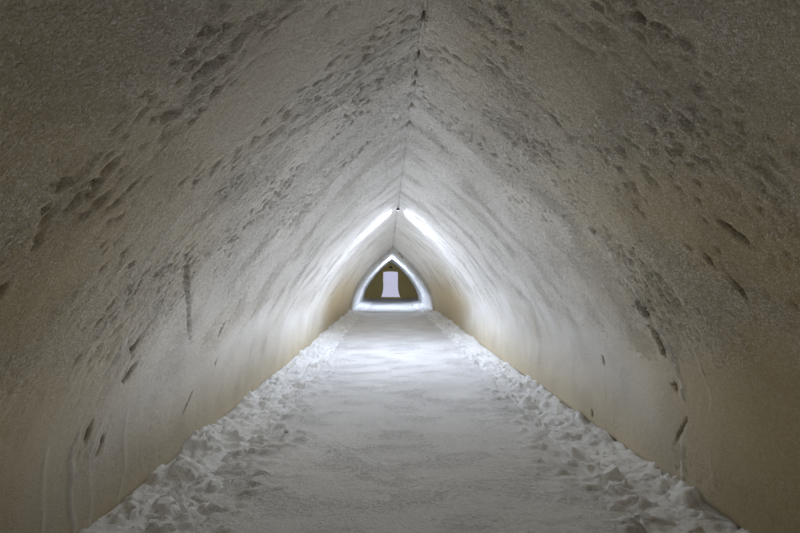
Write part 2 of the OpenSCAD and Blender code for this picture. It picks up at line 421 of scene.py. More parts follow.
def torn_belts(a: np.ndarray, y: np.ndarray,
               high: np.ndarray) -> tuple[np.ndarray, np.ndarray]:
    """Ragged ledges and small torn holes, in belts that slant across the arch.

    Args:
        a, y: places on the unrolled wall.
        high: how far each lies in the rough upper zone.

    Returns:
        How deep the snow is torn, and the noise that its holes are cut from.
    """
    bend_a = a + 0.03 * rough(a, y, 0.20, 11, 2)
    bend_y = y + 0.03 * rough(a, y, 0.16, 12, 3)
    belt = ramp(-0.05, 0.40, swell(a, y, 1.1, 0.55, 15) + 0.35 * swell(a, y, 0.3, 0.2, 18))
    ledge = swell(bend_a, bend_y, 0.50, 0.13, 13) + 0.22 * rough(a, y, 0.070, 14, 3)
    depth = ramp(0.30, 0.38, ledge) * (0.15 + belt) * (0.0016 + 0.0052 * high)
    holes = swell(bend_a, bend_y, 0.045, 0.032, 16) + 0.45 * rough(a, y, 0.034, 19, 2)
    depth += ramp(0.44, 0.58, holes) * (0.12 + 0.88 * belt) * (0.005 + 0.006 * high)
    return depth, holes


def joint_relief(side: Side, a: np.ndarray, y: np.ndarray, torn: np.ndarray) -> np.ndarray:
    """Relief at the joints between bays: torn snow, and a squeezed lip at all but the first.

    Args:
        side: which half of the vault.
        a, y: places on the unrolled wall.
        torn: how far the snow beside a joint is torn out at each.

    Returns:
        Heights out of the snow.
    """
    relief = np.zeros_like(y)
    for k, joint in enumerate(JOINTS):
        slant = side.value * (0.22 if k == 0 else 0.05)
        off = y - joint - slant - 0.05 * rough(a, y * 0 + k, 0.5, 41, 4)
        relief -= 0.009 * np.exp(-(off / 0.13) ** 2) * torn
        if k:
            squeezed = 0.5 + 0.8 * rough(a, y, 0.16, 43)
            relief += 0.016 * np.exp(-(off / 0.03) ** 2) * squeezed
    return relief


def lip_relief(side: Side, up: np.ndarray, y: np.ndarray) -> np.ndarray:
    """Relief of one side's lips, each with a small step past it that fades out."""
    relief = np.zeros_like(y)
    for n, lip in enumerate(LIPS):
        if lip.side is side:
            off, kept = lip_line(n, up, y)
            relief += lip.height * kept * np.exp(-(off / 0.009) ** 2)
            past = ramp(0.0, 0.02, off) * np.exp(-np.maximum(off, 0) / 0.35)
            relief -= lip.step * kept * past
    return relief


def scar_relief(side: Side, up: np.ndarray, y: np.ndarray, z: np.ndarray) -> np.ndarray:
    """Relief of one side's scars, each with a low rim pushed up round it."""
    relief = np.zeros_like(y)
    for n, scar in enumerate(SCARS):
        if scar.side is side:
            far = scar_reach(n, up, y, z)
            relief -= scar.depth * ramp(1.4, 0.45, far)
            relief += 0.0040 * np.exp(-((np.sqrt(far) - 1.3) / 0.14) ** 2)
    return relief


def wall_relief(side: Side, a: np.ndarray, x: np.ndarray, y: np.ndarray,
                z: np.ndarray) -> np.ndarray:
    """Relief of a vault's inner face.

    Args:
        side: which half of the vault.
        a: distance along the arch from the ridge, negative on the left.
        x, y, z: places on the face.

    Returns:
        Heights out of the snow, into the room.
    """
    over = z - FLOOR_TOP
    up = up_wall(x, z)
    high, frost = frost_cover(x, y, z)
    depth, holes = torn_belts(a, y, high)
    relief = 0.010 * swell(a, y, 1.6, 2.2, 1) + 0.003 * swell(a, y, 0.5, 0.7, 2)
    relief += 0.004 * frost + 0.0028 * (0.2 + frost) * rough(a, y, 0.055, 21, 2)
    relief += FOOT_SWELLING[side] * ramp(0.95, 0.05, over) * ramp(14.0, 8.0, y - EYE.y)
    relief -= depth + 0.016 * torn_cover(up, y, high)
    # The ridge is torn open beside its cracks
    spread = np.abs(a) / (0.020 + 0.030 * np.maximum(rough(a, y, 0.03, 29), 0))
    relief -= 0.024 * cracked(y) * ramp(1.3, 0.6, spread)
    relief += joint_relief(side, a, y, ramp(0.26, 0.50, holes) * (0.3 + 0.7 * high))
    relief += lip_relief(side, up, y) + scar_relief(side, up, y, z)
    # The gallery's end draws back into a thin dark line round the neck
    relief -= 0.034 * ramp(NECK_Y - 0.06, NECK_Y - 0.02, y) * (y < NECK_Y)
    return relief * (1 - 0.8 * np.exp(-np.abs(a) / 0.008)) * ramp(-0.02, 0.10, over)


def seam_depth(y: np.ndarray) -> np.ndarray:
    """How deep the ridge seam stands open: choked with frost but for short cracks."""
    return 0.001 + 0.056 * cracked(y) + 0.010 * ramp(3.8, 7.0, y - EYE.y)


def flank_relief(a: np.ndarray, y: np.ndarray, z: np.ndarray) -> np.ndarray:
    """Relief of the outer face, smoothed by wind, with slumped benches near the ground.

    Args:
        a: distance round the mound from its crown, negative on the left.
        y: place along the gallery.
        z: height over the ground.

    Returns:
        Heights out of the snow.
    """
    relief = 0.055 * swell(a, y, 2.6, 3.4, 101) + 0.028 * swell(a, y, 1.1, 1.5, 102)
    drift_y = y + 0.5 * swell(a, y, 1.2, 1.8, 103)
    ripple = swell(a + 0.25 * swell(a, y, 0.8, 1.0, 104), drift_y, 0.34, 1.5, 105)
    relief += 0.020 * np.abs(ripple) - 0.010
    low = ramp(1.3, 0.1, z)
    relief += 0.035 * low * rough(a, y, 0.55, 106, 3, 0.7)
    relief += 0.008 * rough(a, y, 0.18, 107, 2)
    return relief


def cut_relief(x: np.ndarray, z: np.ndarray) -> np.ndarray:
    """Relief of a sawn face across the gallery: faint strokes of the saw and soft pits."""
    stroke = swell(x * 0.94 + z * 0.34, z * 0.94 - x * 0.34, 0.9, 0.045, 121)
    return 0.004 * stroke + 0.012 * rough(x, z, 0.6, 122, 3) - 0.010


def tread_relief(x: np.ndarray, y: np.ndarray) -> np.ndarray:
    """Relief of the trodden floor: packed crumbs, boot prints, and clods by the banks."""
    relief = 0.008 * swell(x, y, 0.9, 1.3, 201)
    patch = ramp(-0.15, 0.45, swell(x, y, 0.55, 0.75, 202))
    relief += 0.0022 * rough(x, y, 0.10, 203, 3) * (0.3 + 0.7 * patch)
    pits = swell(x, y, 0.060, 0.045, 206) + 0.5 * rough(x, y, 0.05, 207, 2)
    relief -= 0.010 * ramp(0.30, 0.75, pits) * patch

    def print_of_boot(dx: np.ndarray, dy: np.ndarray, r1: np.ndarray, r2: np.ndarray,
                      r3: np.ndarray) -> np.ndarray:
        """A boot's print, turned a little from the way of the gallery."""
        turn = (r1 - 0.5) * 1.0
        along_y = dy * np.cos(turn) + dx * np.sin(turn)
        across = dx * np.cos(turn) - dy * np.sin(turn)
        waist = 0.045 + 0.008 * np.cos(along_y * 24)
        far = np.maximum(np.abs(along_y) / 0.15, np.abs(across) / waist)
        return (r2 > 0.45) * ramp(1.25, 0.80, far) * (0.3 + 0.7 * r3)

    relief -= 0.006 * scatter(x, y, 0.46, 211, print_of_boot)
    edge = ramp(0.80, 1.30, np.abs(x) + 0.30 * swell(x, y, 0.5, 0.6, 205))
    crumbs = 0.8 * crust(x, y, 0.11, 221, 0.40) + 0.8 * crust(x + 5, y, 0.06, 231, 0.45)
    past = y - NECK_Y
    ridge = np.where(past > 0, 0.035 * np.exp(-past / 0.9), -0.012 * np.exp(past / 0.1))
    return relief + ridge + edge * (crumbs + 0.007 * rough(x, y, 0.12, 208))


def crust(x: np.ndarray, y: np.ndarray, cell: float, seed: int, share: float) -> np.ndarray:
    """Heights of broken crust: angular lumps, each raised and tilted its own way.

    Args:
        x, y: places on the ground.
        cell: distance between lumps.
        seed: picks the pattern.
        share: how many of the cells hold a lump, from 0 to 1.

    Returns:
        Heights over the ground.
    """
    wx = x / cell + 0.26 * rough(x, y, cell * 0.7, seed + 50, 3)
    wy = y / cell + 0.26 * rough(x, y, cell * 0.7, seed + 51, 3)
    first = np.full(np.shape(x), 9.0)
    second, height = first.copy(), first * 0
    for di in (-1, 0, 1):
        for dj in (-1, 0, 1):
            i, j = np.floor(wx) + di, np.floor(wy) + dj
            dx = wx - i - 0.15 - 0.7 * chance(i, j, seed)
            dy = wy - j - 0.15 - 0.7 * chance(i, j, seed + 1)
            raised = chance(i, j, seed + 2)
            lean = dx * (chance(i, j, seed + 3) - 0.5) + dy * (chance(i, j, seed + 4) - 0.5)
            lump = np.where(raised < share, 0.10 + 0.20 * raised / share + 0.35 * lean, 0.0)
            far = np.hypot(dx, dy)
            nearer = far < first
            second = np.where(nearer, first, np.minimum(second, far))
            first = np.where(nearer, far, first)
            height = np.where(nearer, lump, height)
    return 1.25 * cell * np.maximum(height, 0) * ramp(0.0, 0.30, second - first)


def bank_height(inward: np.ndarray, x: np.ndarray, y: np.ndarray) -> np.ndarray:
    """Height over the floor of the loose snow along a wall.

    Args:
        inward: distance from the wall towards the middle.
        x, y: places on the ground.

    Returns:
        Heights over the floor; below it past the bank's toe.
    """
    toe = 0.50 + 0.14 * swell(x * 0, y, 1.0, 0.55, 301)
    slope = np.clip(1 - inward / toe, -0.4, 1.2)
    crest = 0.062 + 0.030 * swell(x, y, 1.0, 0.6, 302)
    height = crest * np.sign(slope) * np.abs(slope) ** 1.15 + 0.004
    drift = 0.020 * rough(x, y, 0.26, 303, 2)
    broken = (0.75 * crust(x, y, 0.22, 311, 0.42) + 0.9 * crust(x + 3, y, 0.115, 331, 0.45)
              + 0.9 * crust(x + 7, y, 0.062, 351, 0.5) + 0.010 * rough(x, y, 0.09, 304, 3))
    buried = ramp(0.60, 0.05, swell(x, y, 0.45, 0.60, 306))
    return height + drift + broken * (0.25 + 0.75 * buried)


# Colours and node trees


def srgb(code: str) -> tuple[float, float, float, float]:
    """Turns a written colour into the linear one that the shader takes.

    Args:
        code: six hex digits of an sRGB colour.

    Returns:
        Linear red, green and blue, and an alpha of 1.
    """
    parts = [int(code[k:k + 2], 16) / 255 for k in (0, 2, 4)]
    linear = [c / 12.92 if c <= 0.04045 else ((c + 0.055) / 1.055) ** 2.4 for c in parts]
    return linear[0], linear[1], linear[2], 1.0


def add(tree: bpy.types.NodeTree, kind: str, links: dict | None = None,
        **settings: object) -> bpy.types.Node:
    """Adds one node with its settings and links.

    Args:
        tree: the material's or world's node tree.
        kind: the node's type name.
        links: for each input, by name or number, a socket to link or a value to set.
        settings: the node's own properties.

    Returns:
        The new node.
    """
    node = tree.nodes.new(kind)
    for name, value in settings.items():
        setattr(node, name, value)
    for name, value in (links or {}).items():
        if isinstance(value, bpy.types.NodeSocket):
            tree.links.new(value, node.inputs[name])
        else:
            node.inputs[name].default_value = value
    return node


def fresh(name: str) -> tuple[bpy.types.Material, bpy.types.NodeTree, bpy.types.Node]:
    """Makes an empty material with its output node."""
    material = bpy.data.materials.new(name)
    material.use_nodes = True
    tree = material.node_tree
    tree.nodes.clear()
    return material, tree, add(tree, "ShaderNodeOutputMaterial")


def mix(tree: bpy.types.NodeTree, factor: object, low: object, high: object,
        blend: str = "MIX") -> bpy.types.NodeSocket:
    """Mixes two colours and gives the result's socket."""
    node = add(tree, "ShaderNodeMix", {0: factor, 6: low, 7: high}, data_type="RGBA",
               blend_type=blend)
    return node.outputs[2]


def maths(tree: bpy.types.NodeTree, operation: str, first: object,
          second: object) -> bpy.types.NodeSocket:
    """Works out one sum and gives the result's socket."""
    return add(tree, "ShaderNodeMath", {0: first, 1: second}, operation=operation).outputs[0]


def remap(tree: bpy.types.NodeTree, value: object, low: float, high: float,
          top: float = 1.0, ease: str = "LINEAR") -> bpy.types.NodeSocket:
    """Spreads the range from low to high over 0 to top and gives the result's socket."""
    node = add(tree, "ShaderNodeMapRange", {0: value, 1: low, 2: high, 4: top},
               interpolation_type=ease)
    return node.outputs[0]


def noise(tree: bpy.types.NodeTree, place: object, scale: float, detail: float,
          roughness: float = 0.5) -> bpy.types.NodeSocket:
    """Adds noise with so many bumps to the metre and gives its value's socket."""
    node = add(tree, "ShaderNodeTexNoise", {"Vector": place, "Scale": scale,
                                            "Detail": detail, "Roughness": roughness})
    return node.outputs[0]


@dataclass(frozen=True)
class SnowFinish:
    """Snow, by its colours, the sizes of its grain and how deep that is.

    Snow scatters nearly all light and has no gloss of its own, so it is rough with a low
    specular level. Its colour mixes random blotches and a warm tone. It is painted towards the
    shade colour as painted shade where the mesh asks and in the grain's hollows, and it has
    painted glints on its crystals. Its grain comes from crystals.
    """

    name: str
    pale: str
    dull: str
    warm: str
    # The colour that hollows and shaded places are painted towards, as painted shade
    shade_colour: str
    crystal_mm: float
    lump_mm: float
    flake_mm: float
    grain_m: float
    lump_m: float
    flake_m: float
    # How strongly frosty crystal specks are painted white, as painted glints
    painted_sparkle: float
    shade: float

    def build(self) -> bpy.types.Material:
        """Builds the material's nodes.

        Returns:
            The finished material.
        """
        material, tree, output = fresh(self.name)
        place = add(tree, "ShaderNodeTexCoord").outputs["Object"]
        # The mesh's attribute: red a warm tint, green painted shade, blue the frost grain
        tint_painted_shade_grain = add(tree, "ShaderNodeAttribute", attribute_name="tint_painted_shade_grain")
        parts = add(tree, "ShaderNodeSeparateColor", {0: tint_painted_shade_grain.outputs["Color"]})
        warm, painted_shade, frost = parts.outputs
        blotch = remap(tree, noise(tree, place, 1.3, 2.0, 0.62), 0.35, 0.68)
        colour = mix(tree, blotch, srgb(self.dull), srgb(self.pale))
        # Warm tone low on the walls; near the eye, before the neck and on the end wall's inner face
        # it is painted shade
        colour = mix(tree, warm, colour, srgb(self.warm))
        # Painted shade: darkened towards the shade colour where the mesh's green channel asks
        colour = mix(tree, painted_shade, colour, srgb(self.shade_colour))
        crystals = add(tree, "ShaderNodeTexVoronoi",
                       {"Vector": place, "Scale": 1000 / self.crystal_mm}, feature="F1")
        lumps = noise(tree, place, 1000 / self.lump_mm, 3.0, 0.72)
        drawn = add(tree, "ShaderNodeMapping", {"Vector": place, "Scale": (1.0, 2.0, 1.0)})
        flakes = noise(tree, drawn.outputs[0], 1000 / self.flake_mm, 3.0, 0.66)
        belts = noise(tree, drawn.outputs[0], 1.7, 1.0)
        ledges = remap(tree, maths(tree, "ADD", flakes, belts), 1.115, 1.15, ease="SMOOTHSTEP")
        # Painted glints: random crystal specks painted white where the frost grain is
        glint = remap(tree, crystals.outputs["Color"], 0.50, 0.85, self.painted_sparkle)
        colour = mix(tree, maths(tree, "MULTIPLY", glint, frost), colour, srgb("FFFFFF"))
        # Painted shade in the grain: the bump's low lumps and sunk ledges, and random darker crystal
        # specks, are painted towards the shade colour
        dull = remap(tree, crystals.outputs["Color"], 0.48, 0.22, self.shade)
        dark = maths(tree, "MAXIMUM", remap(tree, lumps, 0.50, 0.30, self.shade),
                     maths(tree, "MULTIPLY", ledges, self.shade))
        dark = maths(tree, "MAXIMUM", dark, dull)
        colour = mix(tree, maths(tree, "MULTIPLY", dark, frost), colour, srgb(self.shade_colour))
        normal = None
        for height, distance in ((crystals.outputs["Distance"], -self.grain_m),
                                 (lumps, self.lump_m), (ledges, -self.flake_m)):
            links = {"Height": maths(tree, "MULTIPLY", height, frost), "Strength": 1.0,
                     "Distance": distance}
            if normal:
                links["Normal"] = normal
            normal = add(tree, "ShaderNodeBump", links).outputs[0]
        shader = add(tree, "ShaderNodeBsdfPrincipled",
                     {"Base Color": colour, "Roughness": 0.82, "Specular IOR Level": 0.2,
                      "Normal": normal})
        tree.links.new(shader.outputs[0], output.inputs[0])
        return material


# Blown snow keeps the print of its formwork: grey-white frost, cream where it is smooth
WALL_SNOW = SnowFinish("blown_snow_formed", "EEEFEF", "DCDCDB", "D4C090", "7B6F50",
                       crystal_mm=8.0, lump_mm=30.0, flake_mm=26.0, grain_m=0.0060,
                       lump_m=0.0180, flake_m=0.0060, painted_sparkle=0.45, shade=0.30)
# Wind-packed snow outside: cleaner, cooler and finer
OUTER_SNOW = SnowFinish("wind_packed_snow", "EBEEF2", "DCE0E6", "DDDCD6", "C3CAD4",
                        crystal_mm=12.0, lump_mm=70.0, flake_mm=300.0, grain_m=0.0030,
                        lump_m=0.0120, flake_m=0.0060, painted_sparkle=0.15, shade=0.15)
# Trodden snow: packed crumbs, bluish white
TRODDEN_SNOW = SnowFinish("trodden_snow", "EDEEF0", "DDDEE0", "E0D9C8", "B0AFAB",
                          crystal_mm=8.0, lump_mm=30.0, flake_mm=34.0, grain_m=0.0030,
                          lump_m=0.0070, flake_m=0.0050, painted_sparkle=0.20, shade=0.10)
# Loose snow: clean clods thrown to the walls
LOOSE_SNOW = SnowFinish("loose_snow_clods", "FAFBFC", "F1F3F5", "F0ECE0", "C4C3C0",
                        crystal_mm=7.0, lump_mm=26.0, flake_mm=30.0, grain_m=0.0012,
                        lump_m=0.0080, flake_m=0.0020, painted_sparkle=0.20, shade=0.05)
# Snow carved by hand round the doorway: clean outside, with painted brown shade within
CARVED_SNOW = SnowFinish("carved_snow", "E6E8EA", "D6D9DD", "DBC67F", "9A8F6B",
                         crystal_mm=10.0, lump_mm=45.0, flake_mm=160.0, grain_m=0.0030,
                         lump_m=0.0080, flake_m=0.0050, painted_sparkle=0.10, shade=0.10)


@dataclass(frozen=True)
class PlainFinish:
    """A made surface, by its colour, roughness, the grain of its coat and its glow."""

    name: str
    colour: str
    roughness: float
    grain_mm: float
    glow: float = 0.0

    def build(self) -> bpy.types.Material:
        """Builds the material's nodes, with a little rime settled on the surface.

        Returns:
            The finished material.
        """
        material, tree, output = fresh(self.name)
        place = add(tree, "ShaderNodeTexCoord").outputs["Object"]
        rime = remap(tree, noise(tree, place, 60.0, 3.0), 0.55, 0.75, 0.35)
        colour = mix(tree, rime, srgb(self.colour), srgb("9A9C9E"))
        grain = noise(tree, place, 1000 / self.grain_mm, 2.0)
        bump = add(tree, "ShaderNodeBump", {"Height": grain, "Strength": 0.3,
                                            "Distance": 0.0004})
        shader = add(tree, "ShaderNodeBsdfPrincipled",
                     {"Base Color": colour, "Roughness": self.roughness,
                      "Normal": bump.outputs[0]})
        if self.glow:
            shader.inputs["Emission Color"].default_value = srgb(self.colour)
            shader.inputs["Emission Strength"].default_value = self.glow
        tree.links.new(shader.outputs[0], output.inputs[0])
        return material


# Powder-coated metal: dark with a fine orange-peel grain
COATED_METAL = PlainFinish("powder_coated_metal", "1E1F22", roughness=0.45, grain_mm=1.2)
# Frosted glass over the diodes: even and bright
LENS_GLASS = PlainFinish("frosted_lens_glass", "EEF4FF", roughness=0.30, grain_mm=0.8,
                         glow=1.0)
# Moulded plastic of the fitting: matt, dark olive
MOULDED_PLASTIC = PlainFinish("moulded_plastic_olive", "2B2D20", roughness=0.55,
                              grain_mm=1.0)


@dataclass
class Finishes:
    """Builds each material once."""

    made: dict[str, bpy.types.Material] = field(default_factory=dict)

    def get(self, finish: SnowFinish | PlainFinish) -> bpy.types.Material:
        """The built material of a finish."""
        if finish.name not in self.made:
            self.made[finish.name] = finish.build()
        return self.made[finish.name]


FINISHES = Finishes()


# Meshes


def lay_grid(bm: bmesh.types.BMesh, across: int, down: int) -> tuple[list, np.ndarray, np.ndarray]:
    """Lays a flat grid and numbers its vertices.

    Args:
        bm: the mesh to add it to.
        across, down: number of spans each way.

    Returns:
        The new vertices, and for each its number across and its number down.
    """
    verts = bmesh.ops.create_grid(bm, x_segments=across, y_segments=down, size=0.5)["verts"]
    flat = np.array([v.co.xy for v in verts])
    low, high = flat.min(0), flat.max(0)
    numbers = np.rint((flat - low) / (high - low) * (across, down)).astype(int)
    return verts, numbers[:, 0], numbers[:, 1]


def place_verts(verts: Sequence[bmesh.types.BMVert], where: np.ndarray) -> None:
    """Moves each vertex to its row of where."""
    for vert, co in zip(verts, where.tolist()):
        vert.co = co


def rows_between(start: float, stop: float, fine: float, growth: float,
                 coarse: float) -> np.ndarray:
    """Places of cross-sections, close together where the eye is near them.

    Args:
        start, stop: the two ends along the gallery.
        fine: the closest spacing.
        growth: spacing for each metre ahead of the eye.
        coarse: spacing behind the part that the eye sees.

    Returns:
        Places from start to stop.
    """
    near = EYE.y + 1.25
    places = [start]
    while places[-1] < stop:
        y = places[-1]
        step = coarse if y < near else max(fine, growth * (y - EYE.y))
        places.append(y + step)
    spread = np.array(places)
    return start + (spread - start) * (stop - start) / (spread[-1] - start)


def stand(name: str, data: bpy.types.ID) -> bpy.types.Object:
    """Stands a mesh, light or camera in the scene as an object of its own."""
    obj = bpy.data.objects.new(name, data)
    bpy.context.scene.collection.objects.link(obj)
    return obj


def run_along(points: np.ndarray) -> np.ndarray:
    """Distance of each point of a cross-section from its first, along the section."""
    return np.concatenate([[0], np.cumsum(np.hypot(*np.diff(points[:, :2], axis=0).T))])


def lathe(profile: Sequence[tuple[float, float]], y: float, steps: int) -> bmesh.types.BMesh:
    """Turns a profile about an upright line in the ridge plane.

    Args:
        profile: radius and height of each corner, from the middle round to the middle.
        y: place of the line along the gallery.
        steps: number of spans round it.

    Returns:
        The closed mesh.
    """
    bm = bmesh.new()
    corners = [bm.verts.new((r, 0.0, z)) for r, z in profile]
    edges = [bm.edges.new(pair) for pair in zip(corners, corners[1:])]
    bmesh.ops.spin(bm, geom=corners + edges, cent=(0, 0, 0), axis=(0, 0, 1),
                   angle=math.tau, steps=steps, use_merge=True)
    bmesh.ops.remove_doubles(bm, verts=bm.verts, dist=1e-6)
    bmesh.ops.translate(bm, verts=bm.verts, vec=(0, y, 0))
    return bm


@dataclass
class Piece:
    """A finished piece: its name, the node it stands for, its slot and materials."""

    name: str
    node: str
    slot: str
    materials: tuple[SnowFinish | PlainFinish, ...]
    sharp_deg: float = 70.0

    def finish(self, bm: bmesh.types.BMesh, tint_painted_shade_grain: Callable | None = None,
               recalc: bool = True) -> bpy.types.Object:
        """Turns a worked mesh into the scene's object and ties it to the frame.

        Args:
            bm: the worked mesh, which is freed.
            tint_painted_shade_grain: gives each vertex its warm tint, painted shade and frost
            grain from its place.
            recalc: whether the faces are turned to point outwards.

        Returns:
            The finished object.
        """
        if recalc:
            bmesh.ops.recalc_face_normals(bm, faces=bm.faces)
        mesh = bpy.data.meshes.new(self.name)
        bm.to_mesh(mesh)
        bm.free()
        obj = stand(self.name, mesh)
        for finish in self.materials:
            mesh.materials.append(FINISHES.get(finish))
        mesh.shade_smooth()
        mesh.set_sharp_from_angle(angle=math.radians(self.sharp_deg))
        if tint_painted_shade_grain:
            co = np.empty(len(mesh.vertices) * 3, np.float32)
            mesh.vertices.foreach_get("co", co)
            rgb = tint_painted_shade_grain(*co.reshape(-1, 3).T.astype(float))
            layer = mesh.attributes.new("tint_painted_shade_grain", "FLOAT_COLOR", "POINT")
            rgba = np.stack([*rgb, np.ones(len(rgb[0]))], 1).astype(np.float32)
            layer.data.foreach_set("color", rgba.ravel())
        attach(obj, "root")
        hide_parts(self.node)
        LOG.info("%s: %d faces", self.name, len(mesh.polygons))
        return obj


def indoors(x: np.ndarray, z: np.ndarray) -> np.ndarray:
    """1 on the faces within the mound and 0 on its outer face, by place in the section."""
    return ramp(0.95, 0.90, np.hypot(x / LONG_MOUND.half_w, z / LONG_MOUND.top))


def wall_tint_and_painted_shade(x: np.ndarray, y: np.ndarray, z: np.ndarray) -> list[np.ndarray]:
    """Warm tint, painted shade and frost grain of a vault: cream and smooth low down, frosty
    above. The walls near the eye and before the neck, the torn pits, scars and cracks, and the
    crevice at the neck get painted shade; the lips are left pale as a painted highlight.
    """
    high, frost = frost_cover(x, y, z)
    ahead = y - EYE.y
    low = 0.90 * (1 - ramp(0.10, 1.60, z - FLOOR_TOP + 0.5 * (1 - high)))
    warm = low * ramp(NECK_Y + 0.2, NECK_Y, y)
    right = ramp(-0.6, 0.6, x)
    # Painted shade: a warm, darker tone towards the eye, less where frost is and high up
    painted_warm_shade = 0.92 * ramp(3.4, 1.0, ahead - 0.8 * right) * (1 - 0.35 * frost)
    painted_warm_shade = painted_warm_shade * (1 - 0.6 * ramp(1.5, 2.7, z))
    # Painted shade: the low walls before the neck are painted warmer and a little darker
    far = 0.8 * ramp(8.0, 12.5, ahead) * ramp(2.4, 1.0, z) * (y < NECK_Y)
    warm = np.maximum(np.maximum(warm, painted_warm_shade), far)
    # Painted shade: the walls are painted darker towards the eye, reaching further on the right
    reach = 2.7 + 0.9 * right
    painted_shade = 0.60 * ramp(reach, reach - 1.9, ahead) + 0.20 * far
    # Painted shade in the low corner of the left wall near the eye
    painted_shade = painted_shade + 0.22 * (1 - right) * ramp(1.2, 0.3, z - FLOOR_TOP) * ramp(4.5, 2.2, ahead)
    # Painted shade along the crevice where the gallery meets the neck
    painted_shade = np.maximum(painted_shade, 0.9 * ramp(-0.07, -0.04, y - NECK_Y) * (y < NECK_Y - 0.001))
    up = up_wall(x, z)
    # Painted shade in the torn pits
    painted_shade = np.maximum(painted_shade, 0.5 * torn_cover(up, y, high))
    # Painted shade in the open cracks of the ridge seam
    painted_shade = np.maximum(painted_shade, 0.9 * cracked(y) * ramp(0.030, 0.012, np.abs(x)) * (z > 2))
    # Painted shade in each scar's hollow, darker for the deeper scars
    for n, scar in enumerate(SCARS):
        cover = ramp(1.3, 0.6, scar_reach(n, up, y, z)) * min(scar.depth / 0.012, 1)
        painted_shade = np.maximum(painted_shade, np.where(x * scar.side.value > 0, cover, 0))
    clean = indoors(x, z) * ramp(0.10, 0.80, y - MOUTH_Y)
    grain = (0.26 + 0.38 * high + 0.36 * frost) * (1 - 0.4 * ramp(3.0, 1.3, ahead))
    # Painted highlight: each lip is left paler and less grainy, as if it caught the light
    for n, lip in enumerate(LIPS):
        off, kept = lip_line(n, up, y)
        painted_lip_highlight = np.where(x * lip.side.value > 0, kept, 0) * np.exp(-(off / 0.010) ** 2)
        clean = clean * (1 - min(70 * lip.height, 0.8) * painted_lip_highlight)
        grain = grain * (1 - min(50 * lip.height, 0.7) * painted_lip_highlight)
    return [clean * warm, clean * painted_shade, grain]


def floor_tint_and_painted_shade(x: np.ndarray, y: np.ndarray, z: np.ndarray) -> list[np.ndarray]:
    """A faint warm tint, warmer and darker towards the eye as painted shade, and grain all over."""
    return [0.5 * ramp(7.0, 1.5, y - EYE.y) + 0.1, 0 * x, 0 * x + 1]


def carved_painted_shade(x: np.ndarray, y: np.ndarray, z: np.ndarray) -> list[np.ndarray]:
    """Painted shade on the end wall's inner face, browner and darker, and clean snow outside."""
    painted_inner_shade = ramp(END_Y + 0.75, END_Y + 0.15, y) * indoors(x, z)
    return [painted_inner_shade, 0.15 * painted_inner_shade, 0.5 + 0 * x]


